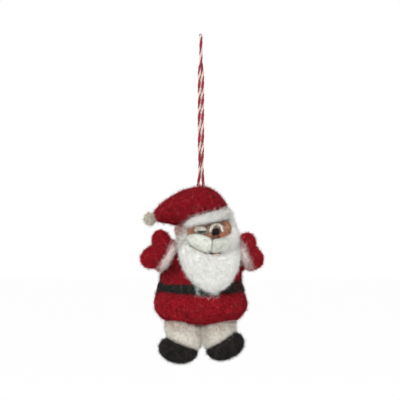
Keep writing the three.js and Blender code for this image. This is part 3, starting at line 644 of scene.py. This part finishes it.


# Coat
# A thick skin of crimson wool over the core, wrapped round and needled, widest below the belt. Under the left arm
# the coat is painted darker, for the shade of the arm and beard.
UNDER_ARM_SHADE = mm(-21, -8, -147)
red_wool = needled_wool("red_wool", "8c101b", "5a070f", "a81b29")
# The few pale pink fibres are partly stray pale wool and partly painted sheen, where fibres at the outline catch the
# light.
red_tints = dyed(
    "red_wool", (6, "red_fibre_dark", "5e060f"), (9, "red_fibre", "960f1e"), (5, "red_fibre_bright", "b81c30"),
    (0.35, "stray_pink_fibre", "c97f7c"),
)
felt_piece(felted(solid_copy("red_coat", "coat")), "coat", red_wool, 22000, red_tints, flow=(1, 0, 0.1))
# Painted shade: the darkest red fibres, under the left arm.
worked_in("under_arm_fibres", "coat", 1800, red_tints[:1], UNDER_ARM_SHADE, mm(11, 20, 8))


# Head
# A ball of skin-coloured wool, which shows in the face, with browner and redder wool worked in round the eyes, and
# the brow under the brim painted dark brown for the brim's shade.
BETWEEN_EYES = mm(4.6, -15, -122.5)
BESIDE_EYE = mm(14.6, -12.5, -126)
LEFT_OF_EYES = mm(-7.5, -10, -123.5)
# The brow under the brim is painted dark brown, for the shade that the brim casts on it.
BRIM_SHADE_LEFT = mm(1.5, -15, -120.3)
BRIM_SHADE_RIGHT = mm(9.5, -15, -118.6)
skin_wool = needled_wool(
    "skin_wool", "b98468", "8a543f", "d7a88c",
    [
        (BETWEEN_EYES, mm(4.5, 4, 4), "a4543f", 0.7),
        (BESIDE_EYE, mm(4, 5, 6), "d8672c", 0.9),
        (LEFT_OF_EYES, mm(4, 5, 4), "bd9480", 0.8),
        # Painted shade under the brim.
        (BRIM_SHADE_LEFT, mm(6, 5, 1.3), "5f3522", 0.85),
        (BRIM_SHADE_RIGHT, mm(6, 5, 1.3), "4a2a1d", 0.9),
    ],
)
skin_tints = dyed(
    "skin_wool", (4, "skin_fibre_dark", "84503d"), (5, "skin_fibre", "bd8669"), (2, "skin_fibre_light", "e0bda6"),
)
felt_piece(felted(solid_copy("face", "head")), "head", skin_wool, 6000, skin_tints, length=2 * MM, rise=0.25 * MM)


# Hat crown
# The cap of crimson wool, with its tail drooping to the left.
felt_piece(felted(solid_copy("cap", "hat_crown")), "hat_crown", red_wool, 20000, red_tints, flow=(1, 0, 0.5), sway=1.6)


# Hat brim
# A roll of white wool round the edge of the cap. The needle has drawn its fibres and the cap's into each other, and
# dark brown fibres under it paint the shade that it casts on the brow. Stray fibres stand where
# the twine goes into the cap.
TWINE_FOOT = mm(0, 0, -96.6)
BRIM_SHADE_LINE = mm(7, -14, -119)
white_wool = needled_wool("white_wool", "efeee9", "d2cfc6", "faf9f6")
white_tints = dyed("white_wool", (3, "white_fibre_shaded", "c4bfb4"), (8, "white_fibre", "fbfbf8"))
brim_shade_tints = dyed("skin_wool", (3, "brow_fibre", "4d3327"), (1, "brow_fibre_light", "87614c"))
felt_piece(
    felted(solid_copy("fur_brim", "hat_brim"), voxel=0.55 * MM, rounding=16), "hat_brim", white_wool, 10000,
    white_tints, bulge=8 * MM,
)
worked_in(
    "twine_foot_fibres", "hat_crown", 260, red_tints[1:] + white_tints[:1], TWINE_FOOT, mm(3, 3, 3), standing=1,
    rise=0.9 * MM,
)
drawn_over("brim_wisps_on_cap", "hat_brim", "hat_crown", 1500, white_tints)
drawn_over("cap_wisps_on_brim", "hat_crown", "hat_brim", 900, red_tints, reach=1.3 * MM)
# Dark brown fibres along the brim's lower edge and along the brow paint the brim's shade.
drawn_over("brow_fibres", "hat_brim", "head", 900, brim_shade_tints, reach=1.8 * MM, length=1.8 * MM)
drawn_over("brow_fibres_on_brim", "head", "hat_brim", 700, brim_shade_tints, reach=1.1 * MM, length=1.6 * MM)
worked_in("brow_line_fibres", "head", 800, brim_shade_tints[:1], BRIM_SHADE_LINE, mm(9, 6, 2))
worked_in("left_face_fibres", "head", 450, skin_tints[1:], LEFT_OF_EYES, mm(4, 7, 4))


# Pompom
# A small ball of greyer wool at the tip of the cap.
POMPOM_CENTRE = mm(-32.8, 0, -116.9)
pompom_wool = needled_wool("pompom_wool", "dbd4c8", "b0a99b", "eee8dd")
pompom_tints = dyed("pompom_wool", (3, "pompom_fibre_dark", "aaa393"), (6, "pompom_fibre", "e8e1d5"))
pompom = solid_copy("pompom", "hat_pompom", centre=POMPOM_CENTRE, factors=0.92)
felt_piece(
    felted(pompom, voxel=0.35 * MM, rounding=10, lump=0.3 * MM, lump_size=2.5 * MM),
    "hat_pompom", pompom_wool, 2600, pompom_tints, length=2 * MM, bulge=4 * MM,
)
drawn_over("pompom_wisps", "hat_pompom", "hat_crown", 150, pompom_tints)


# Hair
# A thin layer of white wool round the back of the head.
felt_piece(
    felted(solid_copy("back_hair", "hair"), rounding=16), "hair", white_wool, 9000, white_tints, flow=(0, 0, -1),
    sway=0.9,
)
drawn_over("hair_wisps", "hair", "hat_brim", 500, white_tints)


# Beard
# White wool laid down the front, from beside the face to the buckle, with a little pinkish wool at its top left.
# Long single fibres stray from its edge over the coat.
LEFT_CHEEK = mm(-14, -4, -121.5)
# Under the left cheek, by the moustache's end, the beard is painted grey-brown for the shade there.
UNDER_CHEEK_SHADE = mm(-13, -8, -130)
beard_tints = dyed("white_wool", (2, "beard_fibre_shaded", "e2e0da"), (8, "beard_fibre", "fafaf7"))
beard_wool = needled_wool(
    "beard_wool", "f9faf8", "ebeae6", "fefefd",
    [
        (LEFT_CHEEK, mm(5, 9, 6), "b5706a", 0.85),
        # Painted shade under the cheek.
        (UNDER_CHEEK_SHADE, mm(4, 6, 7), "bfb29c", 0.45),
    ],
)
felt_piece(
    felted(solid_copy("white_beard", "beard"), lump=0.3 * MM), "beard", beard_wool, 20000, beard_tints,
    flow=(0, 0, -1), sway=1.1,
)
drawn_over("beard_wisps", "beard", "coat", 1300, white_tints, reach=1.8 * MM)
drawn_over(
    "beard_edge_wisps", "coat", "beard", 1000, beard_tints, reach=3 * MM, length=2.8 * MM, rise=0.6 * MM, standing=0.9
)
drawn_over("coat_wisps_on_beard", "coat", "beard", 900, red_tints, reach=1.2 * MM)
drawn_over("cap_wisps_on_beard", "hat_crown", "beard", 500, red_tints[1:3], reach=5 * MM)
drawn_over("beard_edge_on_face", "beard", "head", 700, white_tints, reach=1.5 * MM)
drawn_over("face_wisps_on_beard", "head", "beard", 900, skin_tints, reach=2.5 * MM)
drawn_over("beard_edge_on_brim", "beard", "hat_brim", 700, white_tints)
cheek_tints = dyed("skin_wool", (3, "cheek_fibre", "ab665c"), (2, "cheek_fibre_pale", "d3b0a4"))
# Grey-brown fibres under the cheek, as painted shade.
under_cheek_shade_tints = dyed("skin_wool", (2, "under_cheek_fibre", "b3a38b")) + [(2, white_tints[1][1])]
worked_in("left_cheek_fibres", "beard", 1500, cheek_tints, LEFT_CHEEK, mm(4, 8, 4.5))
worked_in("under_cheek_fibres", "beard", 700, under_cheek_shade_tints, UNDER_CHEEK_SHADE, mm(4, 6, 6))


# Moustache
# Two smooth lobes of white wool, blunt where they meet under the nose. A crease runs along their lower edge, its
# shade painted with grey-brown fibres, and the beard's wool covers the far end of the right one.
LOBE_END = mm(22.5, -11, -131.5)
CREASE_END = mm(20, -13, -136.5)
moustache_wool = needled_wool(
    "moustache_wool", "d3d5cc", "c4c5ba", "dfe1d9", [(LOBE_END, mm(5, 9, 8), "f6f7f4", 0.95)]
)
# Painted shade for the crease under the lobes, in grey-brown.
crease_shade_tints = dyed("white_wool", (1, "crease_fibre", "8f8468"), (2, "crease_fibre_pale", "b9b197"))
moustache_tints = dyed("white_wool", (2, "moustache_fibre_shaded", "bdbfb4"), (5, "moustache_fibre", "d6d8d0"))
for side, bulk in (("left", 1500), ("right", 1800)):
    lobe = solid_copy(f"moustache_lobe_{side}", f"moustache_{side}")
    felt_piece(
        felted(lobe, voxel=0.45 * MM, rounding=14, lump=0.2 * MM, dent=0.1 * MM, swell=0.05 * MM),
        f"moustache_{side}", moustache_wool, bulk, moustache_tints, length=2.2 * MM, rise=0.15 * MM, standing=0.2,
        bulge=10 * MM,
    )
# Grey-brown fibres along the lower edges are painted shade. On the right lobe they are mixed with white wisps.
drawn_over("moustache_wisps", "moustache_right", "beard", 500, crease_shade_tints[1:] + moustache_tints)
drawn_over("crease_fibres", "moustache_left", "beard", 420, crease_shade_tints, reach=1.1 * MM, length=1.8 * MM)
worked_in(
    "crease_end_fibres", "beard", 1400, beard_tints, CREASE_END, mm(7, 8, 2.6), length=4 * MM, rise=0.7 * MM,
    standing=0.4,
)
worked_in("lobe_end_fibres", "moustache_right", 1500, beard_tints, LOBE_END, mm(5, 9, 6))
drawn_over("beard_wisps_on_moustache", "beard", "moustache_right", 900, beard_tints, reach=2 * MM)


# Nose
# A small bead of mauve-brown wool between the right eye and the moustache.
NOSE_FOOT = mm(9.6, -16, -130)
nose_wool = needled_wool("nose_wool", "6b463f", "462c29", "94695c")
nose_tints = dyed("nose_wool", (3, "nose_fibre_dark", "553633"), (5, "nose_fibre", "7a5247"))
nose_bead = solid_copy("nose_bead", "nose", centre=NOSE_FOOT, factors=(1.15, 1, 0.7))
felt_piece(
    felted(nose_bead, voxel=0.3 * MM, rounding=6, lump=0.3 * MM, lump_size=1.5 * MM),
    "nose", nose_wool, 300, nose_tints, length=1.2 * MM, rise=0.2 * MM, bulge=3 * MM,
)


# Eyes
# The left eye is a pad of white wool over a dark slit. The right one is an arched band of white wool over a black
# pupil, which sits in a hollow lined with dark brown wool.
RIGHT_EYE = mm(9.9, -124.4)
ARCH_RADIUS = 3.75 * MM
ARCH_BAND = 2 * MM
ARCH_STRETCH = 1.12
ARCH_CUT = 0.4 * MM
BEFORE_FACE = -0.1
SOCKET_SIZE = mm(6.4, 1.6, 6.6)
PUPIL_PLACE = mm(9.3, -125.2)
PUPIL_SIZE = mm(4.9, 3, 5)
SLIT_CENTRE = mm(0.9, -16, -124.6)


def laid_on(form, node_name, sunk):
    """Lays a form that was made flat at Y = 0 on the front of a felted skin, a little sunk into it."""
    for vertex in form.data.vertices:
        x, y, z = vertex.co
        front = felt_trees[node_name].ray_cast(Vector((x, BEFORE_FACE, z)), Vector((0, 1, 0)))[0]
        vertex.co = (x, front.y + y + sunk, z)
    return form


def soft_bead(name, place, size):
    """A flattened bead of wool, made flat at Y = 0."""
    bpy.ops.object.select_all(action="DESELECT")
    bpy.ops.mesh.primitive_uv_sphere_add(segments=32, ring_count=20, radius=0.5, location=(place[0], 0, place[1]))
    bead = bpy.context.object
    bead.name = bead.data.name = name
    bead.scale = size
    bpy.ops.object.transform_apply()
    return bead


def eye_arch(name):
    """The arched band of the right eye: a ring cut off below the middle of the pupil."""
    bpy.ops.object.select_all(action="DESELECT")
    bpy.ops.mesh.primitive_torus_add(
        major_segments=48, minor_segments=16, major_radius=ARCH_RADIUS, minor_radius=ARCH_BAND / 2,
        location=(RIGHT_EYE[0], 0, RIGHT_EYE[1]), rotation=(math.pi / 2, 0, 0),
    )
    arch = bpy.context.object
    arch.name = arch.data.name = name
    arch.scale = (1, ARCH_STRETCH, 1)
    bpy.ops.object.transform_apply()
    bpy.ops.object.mode_set(mode="EDIT")
    bpy.ops.mesh.select_all(action="SELECT")
    bpy.ops.mesh.bisect(
        plane_co=(RIGHT_EYE[0], 0, RIGHT_EYE[1] - ARCH_CUT), plane_no=(0, 0, 1), use_fill=True, clear_inner=True
    )
    bpy.ops.object.mode_set(mode="OBJECT")
    return arch


fine_felt = {"voxel": 0.25 * MM, "lump": 0.25 * MM, "lump_size": 1.5 * MM, "dent": 0.08 * MM, "swell": 0.02 * MM}
pupil_wool = needled_wool("pupil_wool", "16110f", "0b0807", "2a2321")
pupil_tints = dyed("pupil_wool", (5, "pupil_fibre", "1c1614"))
eye_wool = needled_wool("eye_wool", "c8c6b8", "b2ac99", "d8d6cb")
eye_tints = dyed("white_wool", (2, "eye_fibre_shaded", "aea996"), (5, "eye_fibre", "cfccbf"))
slit_wool = needled_wool("slit_wool", "3a3a38", "232322", "5a5b58")
slit_tints = dyed("pupil_wool", (5, "slit_fibre", "444442"))
socket_wool = needled_wool("socket_wool", "4b322c", "2e1e1b", "7a5346")
socket_tints = dyed("mouth_wool", (3, "socket_fibre", "523830"), (1, "socket_fibre_light", "8a6152"))

felt_piece(
    felted(solid_copy("eye_left", "eye_white_left"), rounding=6, **fine_felt), "eye_white_left", eye_wool, 350,
    eye_tints, length=1.5 * MM, rise=0.2 * MM, bulge=6 * MM,
)
slit = solid_copy("eye_slit_left", "pupil_left", centre=SLIT_CENTRE, factors=(1.08, 1, 0.5))
felt_piece(
    felted(slit, rounding=5, **fine_felt), "pupil_left", slit_wool, 160, slit_tints, length=1.2 * MM, rise=0.1 * MM
)
socket = laid_on(soft_bead("eye_hollow_right", RIGHT_EYE, SOCKET_SIZE), "head", sunk=0.3 * MM)
felted(socket, rounding=4, **fine_felt)
socket.data.materials.append(socket_wool)
keep_skin(socket, "eye_hollow")
socket_fibres = loose_fibres(
    "eye_hollow_fibres", "eye_hollow", 250, socket_tints, length=1.2 * MM, rise=0.12 * MM, bulge=5 * MM
)
for piece in (socket, socket_fibres):
    set_on_figure(piece)
arch = laid_on(eye_arch("eye_arch_right"), "head", sunk=-0.2 * MM)
felt_piece(
    felted(arch, rounding=5, **fine_felt), "eye_white_right", eye_wool, 350, eye_tints, length=1.5 * MM,
    rise=0.2 * MM, bulge=5 * MM,
)
pupil = laid_on(soft_bead("eye_pupil_right", PUPIL_PLACE, PUPIL_SIZE), "head", sunk=-0.5 * MM)
felt_piece(
    felted(pupil, rounding=4, **fine_felt), "pupil_right", pupil_wool, 220, pupil_tints, length=1.2 * MM,
    rise=0.12 * MM, bulge=3 * MM,
)
drawn_over("eye_wisps_right", "eye_white_right", "head", 260, moustache_tints, reach=1.2 * MM, rise=0.3 * MM)
drawn_over("eye_wisps_left", "eye_white_left", "head", 160, moustache_tints, reach=1.2 * MM, rise=0.3 * MM)
drawn_over("eye_wisps_on_slit", "eye_white_left", "pupil_left", 90, moustache_tints, reach=0.8 * MM, rise=0.1 * MM)
drawn_over("face_wisps_on_eye", "head", "eye_white_right", 260, skin_tints, reach=0.8 * MM, rise=0.2 * MM)
drawn_over("face_wisps_on_left_eye", "head", "eye_white_left", 160, skin_tints, reach=0.8 * MM, rise=0.2 * MM)


# Mouth
# A pinch of dark brown wool under the moustache, ragged at its ends, and a little pale pink wool for the lip.
mouth_wool = needled_wool("mouth_wool", "46291f", "241512", "7a5038")
mouth_tints = dyed("mouth_wool", (3, "mouth_fibre", "3c231c"), (1, "mouth_fibre_light", "8c6547"))
lip_wool = needled_wool("lip_wool", "e4d6ca", "d6bfb0", "ece2da")
lip_tints = dyed("lip_wool", (1, "lip_fibre", "e2d0c3")) + [(1, white_tints[0][1])]
felt_piece(
    felted(solid_copy("mouth_line", "mouth"), rounding=3, **fine_felt), "mouth", mouth_wool, 200, mouth_tints,
    length=1.5 * MM, rise=0.12 * MM, flow=(1, 0, -0.2), sway=0.6,
)
felt_piece(
    felted(solid_copy("lip", "lower_lip"), rounding=3, **fine_felt), "lower_lip", lip_wool, 120, lip_tints,
    length=1.3 * MM, rise=0.12 * MM,
)
drawn_over("beard_wisps_on_mouth", "beard", "mouth", 50, beard_tints, reach=0.7 * MM, rise=0.15 * MM)
drawn_over("mouth_wisps", "mouth", "beard", 160, mouth_tints, reach=1 * MM, rise=0.2 * MM)


# Belt
# A strip of near-black wool needled round the coat, its edges blurred where the two wools meet.
belt_wool = needled_wool("belt_wool", "1b1e1b", "111311", "2b2d29")
belt_tints = dyed("belt_wool", (8, "belt_fibre", "1e211f"), (1, "belt_fibre_grey", "5a605c"))
belt_tints.append((0.5, red_tints[0][1]))
waist_belt = solid_copy("waist_belt", "belt", factors=(0.98, 1, 1), shift=mm(-0.5, 0, 0))
felt_piece(
    felted(waist_belt, voxel=0.3 * MM, rounding=6, lump=0.3 * MM, lump_size=4 * MM, swell=0.25 * MM),
    "belt", belt_wool, 9000, belt_tints, flow=(1, 0, 0), sway=0.7, rise=0.25 * MM,
)
drawn_over("belt_wisps_on_coat", "belt", "coat", 2400, belt_tints, reach=1.5 * MM, length=2 * MM)
drawn_over("coat_wisps_on_belt", "coat", "belt", 500, red_tints, reach=0.9 * MM, length=2 * MM)
drawn_over("beard_wisps_on_belt", "beard", "belt", 300, white_tints, reach=2 * MM, length=3.5 * MM)


# Buckle
# A frame of pale grey felt, half under the beard.
BUCKLE_CENTRE = mm(3.8, -16.6, -161.7)
BUCKLE_OPENING = mm(2.3, -17.5, -162.6)
buckle_wool = needled_wool(
    "buckle_wool", "cdd2cf", "a0a7a4", "e6eae7", [(BUCKLE_OPENING, mm(3.6, 5, 1.5), "1d211f", 0.95)]
)
buckle_tints = dyed("buckle_wool", (2, "buckle_fibre_dark", "858c89"), (5, "buckle_fibre", "d8dcda"))
belt_buckle = solid_copy("belt_buckle", "buckle", BUCKLE_CENTRE, (0.93, 1, 0.93), mm(0.2, 0, 0.9))
felt_piece(
    felted(belt_buckle, voxel=0.3 * MM, rounding=6, lump_size=2 * MM, dent=0.15 * MM, swell=0),
    "buckle", buckle_wool, 1500, buckle_tints, length=1.8 * MM, rise=0.25 * MM, bulge=5 * MM,
)
worked_in(
    "buckle_opening_fibres", "buckle", 800, belt_tints[:1], BUCKLE_OPENING, mm(4, 6, 1.7), length=1.6 * MM,
    rise=0.4 * MM,
)
drawn_over("buckle_wisps_on_coat", "buckle", "coat", 250, buckle_tints, reach=2 * MM, length=2 * MM)
drawn_over("buckle_wisps_on_belt", "buckle", "belt", 90, buckle_tints, reach=0.8 * MM, length=1.6 * MM)


# Arms
# Short red sleeves, each with a roll of white wool at the cuff that has red fibres mixed in, and a raised red mitten.
cuff_wool = needled_wool("cuff_wool", "e8ddd9", "c7b0ab", "f5f0ed")
cuff_tints = dyed("white_wool", (3, "cuff_fibre_pink", "c4928f"), (8, "cuff_fibre", "f1e9e5"))
MITTEN_SHIFTS = {"left": mm(0.5, 0, 0.5), "right": mm(-0.8, 0, 0)}
MITTEN_SHARES = (2.5, 9, 9, 0.35)
mitten_tints = [(share, wool) for share, (_, wool) in zip(MITTEN_SHARES, red_tints)]
for side in ("left", "right"):
    mitten, cuff, sleeve = f"mitten_{side}", f"cuff_{side}", f"sleeve_{side}"
    felt_piece(
        felted(solid_copy(f"arm_{side}", sleeve), voxel=0.6 * MM, rounding=20), sleeve, red_wool, 3200, red_tints,
        bulge=9 * MM,
    )
    felt_piece(
        felted(solid_copy(f"fur_{cuff}", cuff), voxel=0.45 * MM, rounding=12), cuff, cuff_wool, 5500, cuff_tints,
        length=2.2 * MM, bulge=6 * MM,
    )
    felt_piece(
        felted(solid_copy(f"red_{mitten}", mitten, shift=MITTEN_SHIFTS[side]), voxel=0.6 * MM, rounding=14),
        mitten, red_wool, 9000, mitten_tints, bulge=8 * MM,
    )
    drawn_over(f"cuff_wisps_on_{mitten}", cuff, mitten, 600, cuff_tints, reach=1.2 * MM)
    drawn_over(f"{mitten}_wisps", mitten, cuff, 2600, mitten_tints, reach=3.2 * MM)
    drawn_over(f"cuff_wisps_on_{sleeve}", cuff, sleeve, 500, cuff_tints)


# Legs
# Short white trouser legs with brown wool mixed in. Where they meet and under the coat they are painted browner, for
# the shade there.
CROTCH_SHADE = mm(1.5, -9, -188)
UNDER_HEM_SHADE = {"left": mm(-13, -10, -184), "right": mm(13, -10, -184)}
trouser_wool = needled_wool(
    "trouser_wool", "e0dbd1", "c8baa4", "efece6",
    [
        # Painted shade: browner where the legs meet and under the coat's hem.
        (CROTCH_SHADE, mm(6, 8, 9), "97784f", 0.6),
        (UNDER_HEM_SHADE["left"], mm(12, 9, 5), "b5876a", 0.6),
        (UNDER_HEM_SHADE["right"], mm(12, 9, 4), "c4ae8c", 0.4),
    ],
)
trouser_tints = dyed("trouser_wool", (0.7, "trouser_fibre_brown", "b39a7d"), (7, "trouser_fibre", "efece4"))
# Painted shade between the legs and under the hem, in brown fibres.
crotch_shade_tints = [(1, wool) for _, wool in trouser_tints]
hem_shade_tints = dyed("trouser_wool", (1, "hem_fibre", "b08a72")) + [(1, trouser_tints[1][1])]
LEG_SEAM_X = 0.8 * MM
SEAM_REACH = 6 * MM
SEAM_FILL = 3.2 * MM


def pressed_together(form):
    """Brings the front of a felted leg forward beside the seam, where the needle closed the gap between the legs."""
    for vertex in form.data.vertices:
        near = 1 - abs(vertex.co.x - LEG_SEAM_X) / SEAM_REACH
        if near > 0 and vertex.co.y < 0:
            vertex.co.y -= SEAM_FILL * near**1.5
    return form


for side in ("left", "right"):
    leg = f"leg_{side}"
    felt_piece(
        pressed_together(felted(solid_copy(f"trouser_{leg}", leg), rounding=24)), leg, trouser_wool, 8500,
        trouser_tints, bulge=12 * MM,
    )
    drawn_over(f"hem_wisps_{side}", "coat", leg, 1300, red_tints, reach=1.5 * MM)
    worked_in(f"under_hem_fibres_{side}", leg, 700, hem_shade_tints, UNDER_HEM_SHADE[side], mm(12, 10, 4))
    worked_in(f"crotch_fibres_{side}", leg, 500, crotch_shade_tints, CROTCH_SHADE, mm(5, 8, 7))
drawn_over("hem_wisps_middle", "coat", "body_core", 300, red_tints, reach=2 * MM)


# Boots
# Black wool in a rounded wedge under each leg, turned out at the toe.
boot_wool = needled_wool("boot_wool", "201d1b", "131110", "302c2a")
boot_tints = dyed("boot_wool", (7, "boot_fibre", "242120"), (2, "boot_fibre_grey", "57514d"))
for side in ("left", "right"):
    boot, leg = f"boot_{side}", f"leg_{side}"
    felt_piece(
        felted(solid_copy(f"black_{boot}", boot), rounding=24), boot, boot_wool, 9000, boot_tints, bulge=10 * MM
    )
    drawn_over(f"boot_wisps_{side}", boot, leg, 700, boot_tints, reach=1.3 * MM)
    drawn_over(f"leg_wisps_{side}", leg, boot, 260, trouser_tints, reach=1.5 * MM, length=1.6 * MM)


# Studio
# A floor and a sky that the camera sees as plain white, while they light the wool more softly, with one large soft
# lamp and a fill.
FLOOR_Z = -0.27
FLOOR_SIZE = 6.4
FLOOR_GREY = (0.95, 0.95, 0.95, 1)
FLOOR_GLOW = 0.94
WHITE = (1, 1, 1, 1)
SKY = 0.78
LAMP_AIM = (0, 0, PICTURE_CENTRE[1] - 0.03)
LAMPS = {"soft_key": ((-0.45, -0.75, 0.45), 0.6, 8.0), "soft_fill": ((0.7, -0.6, 0.05), 0.8, 2.3)}


def seen_directly(holder):
    """One for rays from the camera, or by way of gloss or glass, and nought for the rest."""
    path = add_node(holder, "ShaderNodeLightPath", {})
    seen = path.outputs["Is Camera Ray"]
    for ray in ("Is Glossy Ray", "Is Transmission Ray"):
        seen = maths(holder, "MAXIMUM", seen, path.outputs[ray])
    return seen


studio_white, shader = new_material("studio_white", {"Base Color": FLOOR_GREY, "Roughness": 1.0})
glow = add_node(studio_white, "ShaderNodeEmission", {"Color": WHITE, "Strength": 1.0})
share = maths(studio_white, "MULTIPLY", seen_directly(studio_white), FLOOR_GLOW)
mixed = add_node(studio_white, "ShaderNodeMixShader", {0: share, 1: shader.outputs["BSDF"], 2: glow.outputs[0]})
surface = studio_white.node_tree.nodes["Material Output"].inputs["Surface"]
studio_white.node_tree.links.new(mixed.outputs[0], surface)
bpy.ops.mesh.primitive_plane_add(size=FLOOR_SIZE, location=(0, 0, FLOOR_Z))
floor = bpy.context.object
floor.name = "floor"
floor.data.materials.append(studio_white)

world = bpy.data.worlds.new("pale_sky")
bpy.context.scene.world = world
world.use_nodes = True
sky = world.node_tree.nodes["Background"]
sky.inputs["Color"].default_value = WHITE
strength = maths(world, "MULTIPLY_ADD", seen_directly(world), 1 - SKY, SKY)
world.node_tree.links.new(strength, sky.inputs["Strength"])

for name, (location, size, power) in LAMPS.items():
    bpy.ops.object.light_add(type="AREA", location=location)
    lamp = bpy.context.object
    lamp.name = name
    lamp.data.size = size
    lamp.data.energy = power
    lamp.rotation_euler = (Vector(LAMP_AIM) - lamp.location).to_track_quat("-Z", "Y").to_euler()
